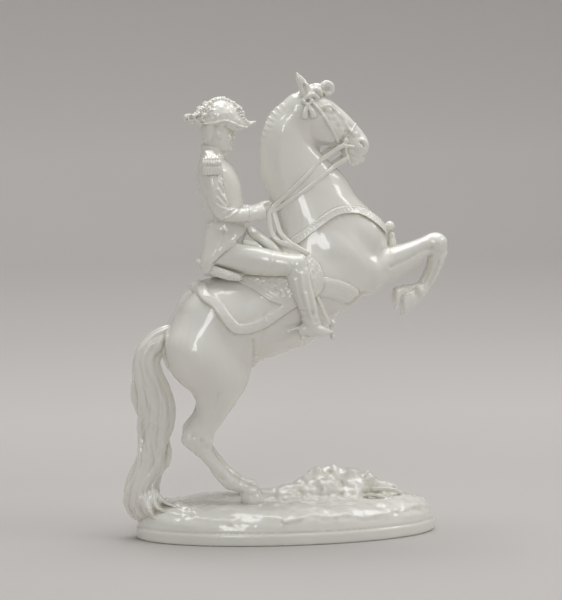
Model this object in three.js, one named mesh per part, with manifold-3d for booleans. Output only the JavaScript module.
// An equestrian statuette in glazed white porcelain: a horse rearing on bent hind legs, its rider,
// and the oval mound they stand on. Rider, horse, harness and ground are one fired piece.
// Millimetres, +Z up, the horse faces +X, its right side is -Y. The origin is the middle of the underside.
import * as THREE from "three";
import { mergeVertices } from "three/addons/utils/BufferGeometryUtils.js";
import Module from "manifold-3d";

const wasm = await Module();
wasm.setup();

// Base: an oval foot band, a groove over it, and the modelled ground.
const BASE_LENGTH = 184;
const BASE_WIDTH = 86;
const BAND_HEIGHT = 7;
const GROOVE_DEPTH = 1;
const GROOVE_HEIGHT = 1.6;
const FOOT_CHAMFER = 0.8;
const GROUND_HEIGHT = 22;
const GROUND_EDGE = 20;
const GROUND_RELIEF = 0.8;
const GROUND_ROUNDNESS = 1.25;
const GROUND_CREST_HALF_WIDTH = 10;
const GROUND_WAVES = [
  [0.13, 0.21, 1.7, 1],
  [0.31, -0.27, 0, 0.6],
];

// The figure's height over the ground. Its stations are drawn at DRAWN_HEIGHT, on hooves at DRAWN_GROUND.
const FIGURE_HEIGHT = 258;
const DRAWN_HEIGHT = 258;
const DRAWN_GROUND = 22;

// Harness and cloth: how far they stand off the body, and how wide they are.
const CLOTH_THICKNESS = 1.4;
const BORDER_THICKNESS = 2.4;
const BORDER_WIDTH = 6;
const BREAST_STRAP_WIDTH = 4.2;
const BRIDLE_THICKNESS = 0.9;
const BRIDLE_WIDTH = 1.8;
const REIN_WIDTH = 2.8;
const REIN_THICKNESS = 1.5;
const LEATHER_WIDTH = 2.2;
const BIT_THICKNESS = 2;
const PRISM_DEPTH = 140;

const GLAZE = { color: 0xe9eae4, roughness: 0.12, metalness: 0 };

// One row of numbers at t on a Catmull-Rom spline through rows.
function along(rows, t) {
  const last = rows.length - 1;
  const i = Math.min(Math.floor(t), last - 1);
  const u = t - i;
  const beyond = (end, next) => rows[end].map((v, j) => 2 * v - rows[next][j]);
  const row = (k) => (k < 0 ? beyond(0, 1) : k > last ? beyond(last, last - 1) : rows[k]);
  const [a, b, c, d] = [row(i - 1), row(i), row(i + 1), row(i + 2)];
  return b.map((_, j) => {
    const cubic = 3 * b[j] - a[j] - 3 * c[j] + d[j];
    const square = 2 * a[j] - 5 * b[j] + 4 * c[j] - d[j];
    return 0.5 * (2 * b[j] + (c[j] - a[j]) * u + square * u * u + cubic * u * u * u);
  });
}

// A closed skin over rings with as many points each, its ends closed at their middles.
function skin(rings) {
  const sides = rings[0].length;
  const middle = (ring) => ring.reduce((sum, p) => sum.add(p), new THREE.Vector3()).divideScalar(sides);
  const points = [...rings.flat(), middle(rings[0]), middle(rings[rings.length - 1])];
  const index = [];
  for (let i = 0; i < rings.length - 1; i++)
    for (let j = 0; j < sides; j++) {
      const k = (j + 1) % sides;
      const [p, q, r, s] = [i * sides + j, i * sides + k, (i + 1) * sides + j, (i + 1) * sides + k];
      index.push(p, q, s, p, s, r);
    }
  const [start, end] = [points.length - 2, points.length - 1];
  const top = (rings.length - 1) * sides;
  for (let j = 0; j < sides; j++) {
    const k = (j + 1) % sides;
    index.push(start, k, j, end, top + j, top + k);
  }
  return new THREE.BufferGeometry().setFromPoints(points).setIndex(index);
}

// A section of a limb between two outline points [x1, z1, x2, z2, y, half width, taper].
// Taper narrows it towards the first of them.
function outlineSection(rows, t) {
  const [x1, z1, x2, z2, y, width, taper] = along(rows, t);
  return {
    centre: new THREE.Vector3((x1 + x2) / 2, y, (z1 + z2) / 2),
    deep: new THREE.Vector3((x1 - x2) / 2, 0, (z1 - z2) / 2),
    wide: new THREE.Vector3(0, width, 0),
    taper,
  };
}

// A section square to the route through stations [x, y, z, half width, half depth], its width along `across`.
function routeSection(rows, t, across) {
  const [x, y, z, width, depth] = along(rows, t);
  const [from, to] = [along(rows, Math.max(t - 0.05, 0)), along(rows, Math.min(t + 0.05, rows.length - 1))];
  const way = new THREE.Vector3(to[0] - from[0], to[1] - from[1], to[2] - from[2]).normalize();
  const wide = new THREE.Vector3(...across);
  wide.addScaledVector(way, -way.dot(wide)).normalize();
  const deep = new THREE.Vector3().crossVectors(way, wide);
  deep.multiplyScalar(depth);
  wide.multiplyScalar(width);
  return { centre: new THREE.Vector3(x, y, z), deep, wide, taper: 0 };
}

// A rounded limb through sections, grown by a skin thickness, with round ends unless its end is flat.
const CAP_SWEEP = 1.45;
function limb(sectionAt, last, options = {}) {
  const { sides = 12, steps = 1, grow = 0, caps = 1, flatEnd = false, ridge = () => 1 } = options;
  const count = Math.round(last * steps);
  const rings = [];
  const ring = (t, bulge, share) => {
    const { centre, deep, wide, taper } = sectionAt(t);
    deep.setLength(deep.length() + grow);
    wide.setLength(wide.length() + grow);
    const reach = Math.min(deep.length(), wide.length());
    const ahead = sectionAt(last).centre.sub(sectionAt(0).centre);
    const way = new THREE.Vector3().crossVectors(wide, deep).normalize();
    centre.addScaledVector(way, bulge * reach * Math.sign(way.dot(ahead) || 1));
    const made = [];
    for (let j = 0; j < sides; j++) {
      const angle = Math.PI / 2 + (2 * Math.PI * j) / sides;
      const swell = share * ridge(angle, t);
      const side = swell * Math.cos(angle) * (1 - taper * Math.sin(angle));
      made.push(centre.clone().addScaledVector(wide, side).addScaledVector(deep, swell * Math.sin(angle)));
    }
    rings.push(made);
  };
  const bend = (k) => (k / (caps + 1)) * CAP_SWEEP;
  for (let k = caps; k > 0; k--) ring(0, -Math.sin(bend(k)), Math.cos(bend(k)));
  for (let k = 0; k <= count; k++) ring((k / count) * last, 0, 1);
  if (!flatEnd) for (let k = 1; k <= caps; k++) ring(last, Math.sin(bend(k)), Math.cos(bend(k)));
  return skin(rings);
}

const TAPER_COLUMN = 6;
const outlined = (rows, options) => {
  const full = rows.map((row) => (row.length > TAPER_COLUMN ? row : [...row, 0]));
  return limb((t) => outlineSection(full, t), full.length - 1, options);
};
const routed = (rows, options = {}) =>
  limb((t) => routeSection(rows, t, options.across ?? [0, 1, 0]), rows.length - 1, options);

// A strap along points [x, y, z], so thick along Y and so wide across.
function strap(points, thickness, width) {
  const rows = points.map(([x, y, z]) => [x, y, z, thickness / 2, width / 2]);
  return routed(rows, { sides: 4, caps: 0 });
}

// An egg: an icosahedron stretched to three radii.
function egg([x, y, z], [rx, ry, rz]) {
  return new THREE.IcosahedronGeometry(1).scale(rx, ry, rz).translate(x, y, z);
}

// A prism through the whole figure along Y, over an outline of [x, z] points.
function prism(outline) {
  const shape = new THREE.Shape(outline.map(([x, z]) => new THREE.Vector2(x, z)));
  const geometry = new THREE.ExtrudeGeometry(shape, { depth: PRISM_DEPTH, bevelEnabled: false });
  return geometry.rotateX(Math.PI / 2).translate(0, PRISM_DEPTH / 2, 0);
}

// The outline of a band along a path of [x, z] points, from one distance to the left of it to another.
function band(path, from, to) {
  const curve = new THREE.SplineCurve(path.map(([x, z]) => new THREE.Vector2(x, z)));
  const [near, far] = [[], []];
  const count = path.length - 1;
  for (let i = 0; i <= count; i++) {
    const [p, way] = [curve.getPoint(i / count), curve.getTangent(i / count)];
    near.push([p.x - way.y * to, p.y + way.x * to]);
    far.unshift([p.x - way.y * from, p.y + way.x * from]);
  }
  return [...near, ...far];
}

// The same surface with each face the other way round.
function turned(geometry) {
  const index = geometry.index.array;
  for (let i = 0; i < index.length; i += 3) [index[i + 1], index[i + 2]] = [index[i + 2], index[i + 1]];
  return geometry;
}

// A solid of a closed surface, with its faces set to point out.
function solid(geometry) {
  const bare = geometry.index ? geometry.toNonIndexed() : geometry.clone();
  bare.deleteAttribute("normal");
  bare.deleteAttribute("uv");
  const merged = mergeVertices(bare, 1e-3);
  const made = new wasm.Manifold(
    new wasm.Mesh({
      numProp: 3,
      vertProperties: new Float32Array(merged.attributes.position.array),
      triVerts: new Uint32Array(merged.index.array),
    }),
  );
  return made.volume() < 0 ? solid(turned(merged)) : made;
}

const joined = (geometries) => geometries.map(solid).reduce((whole, part) => whole.add(part));
const acrossOutline = (rows) => rows.map(([x1, z1, x2, z2, y, ...rest]) => [x1, z1, x2, z2, -y, ...rest]);
const acrossRoute = (rows) => rows.map(([x, y, ...rest]) => [x, -y, ...rest]);

// Moves outline rows, by one [x, z] way at the first row and another at the last.
function shifted(rows, from, to) {
  return rows.map(([x1, z1, x2, z2, ...rest], i) => {
    const share = i / (rows.length - 1);
    const [dx, dz] = [0, 1].map((k) => from[k] + (to[k] - from[k]) * share);
    return [x1 + dx, z1 + dz, x2 + dx, z2 + dz, ...rest];
  });
}

// Horse: trunk and neck from rump to poll, back line against belly, chest and throat.
const TRUNK = [
  [-72, 131, -71, 117, 0, 9, 0],
  [-67, 137.6, -65, 106, 0, 17, 0],
  [-58.5, 145.4, -52, 101, 0, 23.5, 0],
  [-45, 155.4, -34, 102, 0, 26.5, 0.05],
  [-30, 162.6, -18, 105.4, 0, 27.5, 0.1],
  [-17, 168.4, -2, 110.4, 0, 27.5, 0.12],
  [-8.4, 176.4, 15, 117, 0, 27, 0.15],
  [-5.8, 186, 36.4, 138, 0, 25.5, 0.2],
  [-8.4, 196.6, 53.4, 149, 0, 23, 0.25],
  [-11.2, 205, 63.2, 169.6, 0, 20, 0.3],
  [-13.4, 212, 61.6, 184, 0, 17, 0.35],
  [-15, 218.6, 53, 194.6, 0, 14.6, 0.35],
  [-16, 226, 43.6, 204, 0, 13, 0.35],
  [-16, 233.6, 36.6, 215.4, 0, 11.4, 0.3],
  [-15, 242, 28, 224.6, 0, 10, 0.3],
  [-12, 250.4, 19.6, 233, 0, 9, 0.25],
  [-6.4, 258, 16, 243, 0, 8, 0.15],
  [2, 264, 16.6, 252, 0, 6.8, 0.1],
];
const THIGH = [
  [-34, 142, -64, 136, -9, 11],
  [-25, 124, -75, 121.4, -11.5, 16],
  [-22.4, 109, -73.2, 108.6, -13.6, 17],
  [-25, 97.6, -67.8, 97, -14.4, 15],
  [-30.4, 87, -59.8, 88, -14.6, 11],
  [-37.4, 77, -57.4, 79.4, -14.6, 8],
];
const HIND_SHANK = [
  [-42.6, 69.6, -59.8, 73, -14.6, 6.6],
  [-47, 63.6, -65.2, 65.6, -14.6, 5.9],
  [-48.8, 58.6, -65.4, 58.8, -14.6, 5.6],
  [-46.4, 52.4, -58.6, 52.4, -14.5, 4.8],
  [-41, 45.8, -50.6, 43.2, -14.3, 3.9],
  [-36.4, 40.2, -44.4, 35.8, -14.2, 3.8],
  [-31, 36.6, -39, 30.4, -14, 4.7],
  [-25.4, 33, -32, 28.4, -14, 4.1],
];
const HIND_HOOF = [
  [-20, 31, -30.8, 27.2, -14, 5.4],
  [-14.6, 20, -29.8, 20, -14, 7],
];
const FOREARM = [
  [40, 173, 42, 147, -11, 10],
  [53, 171.6, 53, 149.8, -12.4, 9.4],
  [63, 174.4, 65, 155.2, -13, 8.2],
  [72, 177, 75, 161.2, -13, 6.9],
  [80, 179.4, 82, 166, -12.6, 6],
  [87, 182.4, 85.6, 168.6, -12.2, 5.8],
  [93.6, 180.6, 86, 168.6, -12, 5.6],
];
const FORE_CANNON = [
  [97, 172.4, 85.6, 167, -12, 5.2],
  [95.2, 165.4, 85.6, 162, -12, 4.6],
  [91.4, 157.2, 84, 156, -12, 3.7],
  [87.2, 150, 81.4, 150.6, -12, 3.7],
  [84, 145.8, 79, 149, -12, 4.6],
  [81, 142.6, 75.6, 147.8, -12, 3.9],
];
const FORE_HOOF = [
  [78.4, 139.4, 72.4, 147.2, -12, 5],
  [69, 131.2, 69, 145.4, -12, 6.2],
];
const HEAD = [
  [6, 265, 8, 249, 0, 6.4, 0],
  [16.4, 266.2, 12, 239, 0, 8.4, -0.05],
  [25.4, 263.6, 18.4, 236, 0, 8.8, -0.1],
  [32, 258.8, 24.6, 235, 0, 7.4, -0.1],
  [38, 253.4, 29.6, 234, 0, 6.2, -0.1],
  [43, 248, 33.4, 231, 0, 5.4, -0.05],
  [47.4, 242.8, 36, 227, 0, 5.2, 0],
  [50.4, 238, 38.8, 223.4, 0, 5.2, 0],
  [51, 233, 42.4, 222.6, 0, 4.6, 0],
  [49.8, 229, 46, 224.6, 0, 3, 0],
];
const EAR = [
  [8.6, 262, 15.4, 265, -5, 2.6],
  [6.6, 270, 13.2, 271.6, -5.8, 2.4],
  [4.8, 275.4, 10, 276, -6, 1.6],
  [4.6, 279.4, 5.8, 279.6, -6.2, 0.5],
];
const FORELOCK = [
  [10, 267, 12, 261, 0, 4],
  [15.4, 269.6, 17.4, 263, 0, 3.6],
  [19.8, 271.2, 21.4, 265, 0, 3],
  [24.6, 270.4, 24, 266.2, 0, 2.4],
];
const CURL = [
  [22.4, 0, 268.6, 2.4, 1.7],
  [25.6, 0, 271.2, 2.3, 1.7],
  [28, 0, 269.8, 2.1, 1.6],
  [27.4, 0, 267, 1.9, 1.5],
];
const TAIL = [
  [-66, 129, -67, 119, 0, 4.6],
  [-74.4, 127, -74.6, 116, 0, 5.2],
  [-82.9, 123, -77.2, 112, 0, 6.2],
  [-91, 115.4, -78, 107, 0, 7],
  [-95, 102, -76.6, 101.6, 0, 7.6],
  [-94.4, 87, -69.6, 88, 0, 8.4],
  [-91, 72, -66.2, 72, 0, 8.6],
  [-91, 57, -69.8, 57, 0, 8.2],
  [-96, 42, -72, 46, 0, 8.4],
  [-100, 28, -79, 33, 0, 9],
  [-98, 17, -77, 22, 0, 11],
  [-91, 8.6, -70, 16, 0, 13],
];
const TAIL_STRANDS = { count: 4, depth: 0.12, twist: 0.165, valley: 0.3, from: 3 };

// Rider.
const TORSO = [
  [-51, 160, -16, 164, 0, 15],
  [-50, 172, -25.6, 176, 0, 13.8],
  [-48.9, 184, -24.6, 184, 0, 12.2],
  [-49.6, 194, -25.8, 194, 0, 11.4],
  [-52, 204, -26.2, 204, 0, 13],
  [-54, 214, -27.8, 214, 0, 15],
  [-53.6, 222.4, -32, 223, 0, 15],
  [-52.2, 228.4, -37.4, 228.8, 0, 9.6],
  [-51.2, 233, -39.6, 232.4, 0, 5.8],
  [-50, 238, -39.4, 237, 0, 5.2],
];
const HEAD_OF_RIDER = [
  [-48, 233.6, -33.4, 232.6, 0, 3.6],
  [-49.6, 238, -32.4, 236, 0, 6],
  [-50.8, 243, -31.8, 242.6, 0, 7.2],
  [-51, 248, -32, 248, 0, 7.6],
  [-49, 253, -34.4, 253, 0, 6.4],
];
const UPPER_ARM = [
  [-47.9, -15.4, 223, 5.4, 6.2],
  [-47.4, -18.4, 214, 5.6, 6.2],
  [-45, -19.4, 204.6, 5.2, 5.8],
  [-41.6, -19, 197.4, 5, 5.2],
];
const FOREARM_SLEEVE = [
  [-33, -17.8, 195.6, 4.8, 4.8],
  [-23.6, -14.4, 196.2, 4.6, 4.7],
  [-17.6, -11.6, 197.2, 4.8, 5.3],
];
const HAND = [
  [-18, -11.4, 197.8, 2.8, 3.6],
  [-13.6, -8.4, 199.6, 2.8, 3.9],
  [-11.4, -6.4, 199.6, 2.2, 2.8],
];
// The far arm: drawn on its own, as the rider turns a little towards their right.
const FAR_UPPER_ARM = [
  [-38.6, 14.6, 222.4, 5.4, 6],
  [-37.6, 17.6, 213, 5.6, 6],
  [-37, 18.4, 203, 5.2, 5.6],
  [-35.4, 17.4, 195.4, 5, 5.2],
];
const FAR_FOREARM_SLEEVE = [
  [-28, 14.4, 193.6, 4.8, 4.8],
  [-20.6, 10, 194.4, 4.6, 4.8],
];
const FAR_HAND = [
  [-20, 9.6, 195.6, 2.8, 3.6],
  [-15, 5, 197.2, 2.8, 3.8],
  [-12.4, 1.6, 198, 2.2, 2.8],
];
const RIDER_THIGH = [
  [-43, 174, -45, 164, -8, 9],
  [-34, 178.4, -32, 160.8, -14, 9.2],
  [-22, 177.4, -20, 159.6, -20, 8.4],
  [-10, 174.6, -9, 159.6, -24, 7.4],
  [0, 173, -2.4, 160.2, -26.4, 6.8],
  [5.4, 172.8, -4.4, 160.4, -27.4, 6.2],
];
const SHIN = [
  [7, 167.6, -4.6, 159, -27.8, 6.1],
  [8.8, 158, -3.2, 154.6, -28.4, 5.9],
  [12, 146, 0.2, 145, -28.8, 5.3],
  [14.4, 137, 3.2, 136.6, -28.8, 4.8],
  [15.6, 130.8, 5, 131, -28.8, 4.4],
];
const FOOT = [
  [6, 131.4, 5.2, 122.6, -28.8, 3.6],
  [11, 132.4, 10.6, 122.4, -29, 4],
  [16.4, 130.6, 16, 122, -29.6, 3.8],
  [21.6, 128.8, 21.4, 123, -30.2, 3],
];
const COAT_TAIL = [
  [-49.4, 187, -27.6, 185, -5, 7.6],
  [-50.8, 177, -33, 179, -9.6, 8],
  [-52.8, 169.4, -43, 171, -12, 6.6],
  [-54, 164, -47.4, 162.6, -12.6, 4.6],
];
const HAT = [
  [-61, 251.6, -60, 249, 0, 1.8, 0],
  [-55.6, 255, -54, 247.8, 0, 5, 0.2],
  [-49, 262, -48, 247.8, 0, 8, 0.45],
  [-40.4, 265, -41, 248.6, 0, 9.2, 0.5],
  [-32, 262, -33.6, 247.4, 0, 8, 0.45],
  [-26.4, 253, -26.4, 245.8, 0, 4.6, 0.2],
  [-19, 250.6, -19.4, 247.6, 0, 1.8, 0],
];
const FEATHER_RELIEF = 0.08;
const NOSE = [[-31.4, 0, 241.4], [2, 1.3, 2.4]];
const RIDER_TURN = (-11 * Math.PI) / 180;
const RIDER_AXIS_X = -42;

// Shoulder pieces: a pad, and a fringe through stations [out, up, half width, half depth] from it.
const EPAULETTES = [
  [-47.8, -17.4, 226.4],
  [-38.6, 16.8, 225.6],
];
const EPAULETTE_PAD = [6.2, 4.8, 3];
const PAD_INSET = 2;
const FRINGE = [
  [0, 1, 6.6, 3.4],
  [2.4, -2.4, 6.8, 2.6],
  [3.4, -6.4, 7, 2.4],
];

// Saddlery drawn on the body's side, as [x, z] outlines and paths.
const SADDLE_CLOTH = [
  [-57, 152],
  [-49.4, 141.6],
  [-43.6, 133.4],
  [-37.6, 127],
  [-30, 125.8],
  [-19, 128.8],
  [-5, 137.8],
  [10, 148],
  [14, 160],
  [-4, 190],
  [-46, 180],
];
const CLOTH_EDGE_POINTS = 8;
const SADDLE_FLAP = [
  [-36, 160],
  [-24, 152],
  [-14, 145],
  [0, 142.4],
  [14, 148],
  [17.6, 158],
  [12, 170],
  [-8, 180],
  [-30, 172],
];
const BREAST_STRAP = [
  [1, 176.5],
  [12, 186.8],
  [22.4, 194.4],
  [34, 198.8],
  [44, 198.6],
  [52, 194.6],
  [62, 184],
];
const CANTLE_ROLL = [
  [-30, -20.5, 159.4, 2, 2],
  [-38, -18.8, 160.8, 3, 3],
  [-47.4, -13, 163.4, 3.2, 3.2],
];
const CANTLE_MIDDLE = [-51, 0, 165, 3.2, 3.2];
const POMMEL_ROLL = [
  [-6, -13.6, 171.6, 2.8, 3.2],
  [-14, -10, 178.8, 3, 3.8],
  [-20.4, -4, 183.6, 3, 3.4],
];
const POMMEL_MIDDLE = [-21, 0, 184.4, 3, 3.4];
const STIRRUP_LEATHER = [
  [8.6, -25, 158],
  [14, -28.6, 146],
  [20.8, -30.2, 130.6],
];
const STIRRUP = { at: [22.5, -30.2, 127.6], radius: 5.2, thickness: 1.1 };

// Bridle and reins.
const CHEEK_STRAP = [
  [13, 264],
  [20.4, 255],
  [25.6, 246.6],
  [31.6, 236],
];
const NOSE_STRAP = [
  [45, 251],
  [38.4, 243.4],
  [31.4, 235.4],
  [27, 230],
];
const UPPER_REIN = [
  [-13, -7, 199.4],
  [7, -13.4, 211.6],
  [20, -10.4, 223.6],
  [31.6, -6.8, 234],
];
const LOWER_REIN = [
  [-13, -7, 197.2],
  [6.6, -14, 206.4],
  [22, -11.4, 217.2],
  [37, -6.4, 226.6],
];
const REIN_ENDS = [
  [-12, -8, 198.6],
  [-8.4, -9.6, 184],
  [0, -16, 176.6],
  [6, -23, 173],
  [14, -25.6, 168],
  [18, -24.6, 156],
];
const BIT_SHANK = [
  [35.4, -5.8, 238.4],
  [35.6, -6.2, 232],
  [37.6, -6, 225],
];
const ROSETTE = [
  [[12.6, -7, 259.6], [3.2, 3, 2.8]],
  [[12.6, -7.6, 255.2], [3.4, 3, 3]],
];
const CHEST_KNOT = [
  [[62.4, 0, 184.2], [3.7, 3.7, 3.1]],
  [[63.4, 0, 176.4], [2.9, 3.3, 5.8]],
];

// Rocks and leaves on the ground before the hooves, as one heap.
const ROCKS = [
  [-9, 24.6, -8, 16, 12, 6],
  [0, 28, 0, 16, 11, 8],
  [11, 30.8, 11, 16, 11, 10],
  [20, 36.6, 20, 16, 12, 11],
  [31, 37.6, 31, 16, 11, 12],
  [42, 36.4, 42, 16, 10, 12],
  [51, 35.6, 52, 16, 9, 11],
  [60, 28.6, 61, 16, 8, 9],
  [68, 25, 68, 16, 8, 7],
];
const ROCK_RELIEF = 0.13;

const both = (rows, across, build) => [build(rows), build(across(rows))];

// The trunk and all of the hind legs, of which the far one stands a little before the near one.
function horseBody(grow) {
  const farLeg = [
    ...acrossOutline(THIGH),
    ...shifted(acrossOutline(HIND_SHANK), [1.6, 0], [4, -1.4]),
    ...shifted(acrossOutline(HIND_HOOF), [4, -1.2], [3.6, 0]),
  ];
  const leg = { sides: 10, grow, flatEnd: true };
  return joined([
    outlined(TRUNK, { sides: 14, grow }),
    outlined([...THIGH, ...HIND_SHANK, ...HIND_HOOF], leg),
    outlined(farLeg, leg),
  ]);
}

function foreLegs() {
  const farLeg = [
    ...shifted(acrossOutline(FOREARM), [0, -4], [4.4, -3.6]),
    ...shifted(acrossOutline(FORE_CANNON), [4.4, -3.6], [0.6, 0.6]),
    ...shifted(acrossOutline(FORE_HOOF), [0.6, 0.6], [0.6, 1.6]),
  ];
  const leg = { sides: 8, flatEnd: true };
  return [outlined([...FOREARM, ...FORE_CANNON, ...FORE_HOOF], leg), outlined(farLeg, leg)];
}

function horseHead() {
  const farEar = shifted(acrossOutline(EAR), [2.4, -1.4], [2.4, -1.4]);
  return [
    outlined(HEAD, { sides: 10 }),
    outlined(FORELOCK, { sides: 6 }),
    routed(CURL, { sides: 6 }),
    outlined(EAR, { sides: 6 }),
    outlined(farEar, { sides: 6 }),
  ];
}

function tail() {
  const { count, depth, twist, valley, from } = TAIL_STRANDS;
  const strand = (angle, t) => Math.cos(count * angle + twist * t * t) - valley;
  return outlined(TAIL, { ridge: (angle, t) => 1 + depth * Math.min(t / from, 1) * strand(angle, t) });
}

// The rider's torso, head and hat, turned together about the upright line through the torso.
function riderTrunk() {
  const crown = (angle) => FEATHER_RELIEF * Math.max(0, Math.sin(angle));
  const feathers = (angle, t) => 1 + crown(angle) * Math.cos(2 * Math.PI * t);
  const hat = outlined(HAT, { sides: 8, steps: 2, ridge: feathers });
  const torsoAndHead = [TORSO, HEAD_OF_RIDER].map((rows) => outlined(rows, { sides: 10 }));
  const turn = new THREE.Matrix4().makeTranslation(RIDER_AXIS_X, 0, 0);
  turn.multiply(new THREE.Matrix4().makeRotationZ(RIDER_TURN));
  turn.multiply(new THREE.Matrix4().makeTranslation(-RIDER_AXIS_X, 0, 0));
  return [...torsoAndHead, egg(...NOSE), hat].map((part) => part.applyMatrix4(turn));
}

// A shoulder piece with a hanging fringe.
function epaulette([x, y, z]) {
  const side = Math.sign(y);
  const fringe = FRINGE.map(([out, up, ...half]) => [x, y + out * side, z + up, ...half]);
  const pad = egg([x, y - PAD_INSET * side, z], EPAULETTE_PAD);
  return [pad, routed(fringe, { across: [1, 0, 0], sides: 6, flatEnd: true })];
}

// The arms and hands; and each leg and coat tail, of which the far tail hangs a little before the near one.
function riderLimbs() {
  const nearArm = [...UPPER_ARM, ...FOREARM_SLEEVE];
  const farArm = [...FAR_UPPER_ARM, ...FAR_FOREARM_SLEEVE];
  const farCoatTail = shifted(acrossOutline(COAT_TAIL), [2, 0], [5, 0]);
  return [
    ...[nearArm, farArm, HAND, FAR_HAND].map((rows) => routed(rows, { sides: 6 })),
    ...EPAULETTES.flatMap(epaulette),
    ...both([...RIDER_THIGH, ...SHIN], acrossOutline, (rows) => outlined(rows, { sides: 8 })),
    ...both(FOOT, acrossOutline, (rows) => outlined(rows, { sides: 6 })),
    ...[COAT_TAIL, farCoatTail].map((rows) => outlined(rows, { sides: 6 })),
  ];
}

// Cloth, border, flap and breast strap: skins of the body, cut to their outlines seen from the side.
function saddlery() {
  const clothBody = horseBody(CLOTH_THICKNESS);
  const borderBody = horseBody(BORDER_THICKNESS);
  const lowerEdge = SADDLE_CLOTH.slice(0, CLOTH_EDGE_POINTS);
  const cut = (body, outline) => body.intersect(solid(prism(outline)));
  const rolls = [];
  for (const [rows, middle] of [[CANTLE_ROLL, CANTLE_MIDDLE], [POMMEL_ROLL, POMMEL_MIDDLE]])
    rolls.push(routed([...rows, middle, ...acrossRoute(rows).reverse()], { sides: 6, across: [0, 0, 1] }));
  return [
    cut(clothBody, SADDLE_CLOTH),
    cut(borderBody, band(lowerEdge, 0, BORDER_WIDTH)),
    cut(borderBody, SADDLE_FLAP),
    cut(borderBody, band(BREAST_STRAP, -BREAST_STRAP_WIDTH / 2, BREAST_STRAP_WIDTH / 2)),
    joined(rolls),
  ];
}

function stirrup(rows, side) {
  const { at, radius, thickness } = STIRRUP;
  const ring = new THREE.TorusGeometry(radius, thickness, 4, 8).rotateY(Math.PI / 2);
  return [ring.translate(at[0], at[1] * side, at[2]), strap(rows, LEATHER_WIDTH, LEATHER_WIDTH)];
}

function bridle() {
  const skinOfHead = solid(outlined(HEAD, { sides: 10, grow: BRIDLE_THICKNESS }));
  const straps = [CHEEK_STRAP, NOSE_STRAP].map((path) =>
    skinOfHead.intersect(solid(prism(band(path, -BRIDLE_WIDTH / 2, BRIDLE_WIDTH / 2)))),
  );
  const loose = [strap(REIN_ENDS, REIN_THICKNESS, REIN_WIDTH)];
  for (const rows of [UPPER_REIN, LOWER_REIN])
    loose.push(...both(rows, acrossRoute, (side) => strap(side, REIN_THICKNESS, REIN_WIDTH)));
  loose.push(...both(BIT_SHANK, acrossRoute, (side) => strap(side, BIT_THICKNESS, BIT_THICKNESS)));
  for (const [[x, y, z], radii] of ROSETTE) loose.push(egg([x, y, z], radii), egg([x, -y, z], radii));
  return [...straps, joined(loose)];
}

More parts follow.
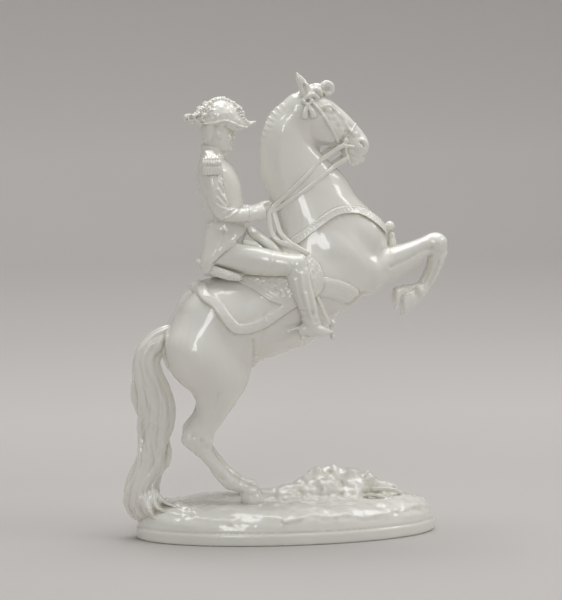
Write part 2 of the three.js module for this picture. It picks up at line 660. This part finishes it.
// The oval foot, its groove, and the ground, rounding up from the groove to its uneven top.
function base() {
  const sides = 28;
  const [halfLength, halfWidth] = [BASE_LENGTH / 2, BASE_WIDTH / 2];
  const wave = (x, y) => {
    const waves = GROUND_WAVES.map(([kx, ky, start, share]) => share * Math.sin(kx * x + ky * y + start));
    return waves.reduce((sum, value) => sum + value);
  };
  const ring = (inset, height, relief = 0) => {
    const made = [];
    for (let j = 0; j < sides; j++) {
      const angle = (2 * Math.PI * j) / sides;
      const [x, y] = [(halfLength - inset) * Math.cos(angle), (halfWidth - inset) * Math.sin(angle)];
      made.push(new THREE.Vector3(x, y, height + relief * wave(x, y)));
    }
    return made;
  };
  const foot = BAND_HEIGHT + GROOVE_HEIGHT;
  const rings = [
    ring(FOOT_CHAMFER, 0),
    ring(0, FOOT_CHAMFER),
    ring(0, BAND_HEIGHT - FOOT_CHAMFER),
    ring(FOOT_CHAMFER, BAND_HEIGHT),
    ring(GROOVE_DEPTH + FOOT_CHAMFER, BAND_HEIGHT + GROOVE_HEIGHT / 2),
  ];
  const arcRings = 4;
  for (let k = 0; k <= arcRings; k++) {
    const angle = (Math.PI / 2) * (k / arcRings);
    const inset = FOOT_CHAMFER + (GROUND_EDGE - FOOT_CHAMFER) * (1 - Math.cos(angle) ** GROUND_ROUNDNESS);
    const height = foot + (GROUND_HEIGHT - foot) * Math.sin(angle) ** GROUND_ROUNDNESS;
    rings.push(ring(inset, height, GROUND_RELIEF * (k / arcRings)));
  }
  rings.push(ring(halfWidth - GROUND_CREST_HALF_WIDTH, GROUND_HEIGHT, GROUND_RELIEF));
  return skin(rings);
}

// The heap, knobbly along and around, drawn on ground at DRAWN_GROUND.
function rocks() {
  const ridge = (angle, t) => 1 + ROCK_RELIEF * Math.sin(4 * angle + 2.3 * t) * Math.cos(3 * t + angle);
  return outlined(ROCKS, { sides: 10, ridge }).translate(0, 0, GROUND_HEIGHT - DRAWN_GROUND);
}

// Sets the figure, drawn on its own ground, to its height on the base's ground.
function standing(figure) {
  const k = FIGURE_HEIGHT / DRAWN_HEIGHT;
  return figure.translate([0, 0, -DRAWN_GROUND]).scale([k, k, k]).translate([0, 0, GROUND_HEIGHT]);
}

const modelled = [
  ...foreLegs(),
  ...horseHead(),
  tail(),
  ...riderTrunk(),
  ...riderLimbs(),
  ...both(STIRRUP_LEATHER, acrossRoute, (rows) => stirrup(rows, -Math.sign(rows[0][1]))).flat(),
  ...CHEST_KNOT.map(([at, radii]) => egg(at, radii)),
];
const parts = [horseBody(0), joined(modelled), ...saddlery(), ...bridle()];
const figure = parts.reduce((whole, part) => whole.add(part));
// A hair gap sealed between two touching forms is a shell of its own, turned inside out: it is left out.
const statuette = standing(figure)
  .add(joined([base(), rocks()]))
  .decompose()
  .filter((shell) => shell.volume() > 0)
  .reduce((whole, shell) => whole.add(shell));

function geometryOf(made) {
  const { numVert, numProp, vertProperties, triVerts } = made.getMesh();
  const position = new Float32Array(numVert * 3);
  for (let i = 0; i < numVert; i++) {
    const at = i * numProp;
    position.set(vertProperties.subarray(at, at + 3), i * 3);
  }
  const geometry = new THREE.BufferGeometry();
  geometry.setAttribute("position", new THREE.BufferAttribute(position, 3));
  return geometry.setIndex(new THREE.BufferAttribute(new Uint32Array(triVerts), 1));
}

const group = new THREE.Group();
const mesh = new THREE.Mesh(geometryOf(statuette), new THREE.MeshStandardMaterial(GLAZE));
mesh.name = "statuette";
group.add(mesh);

export default group;
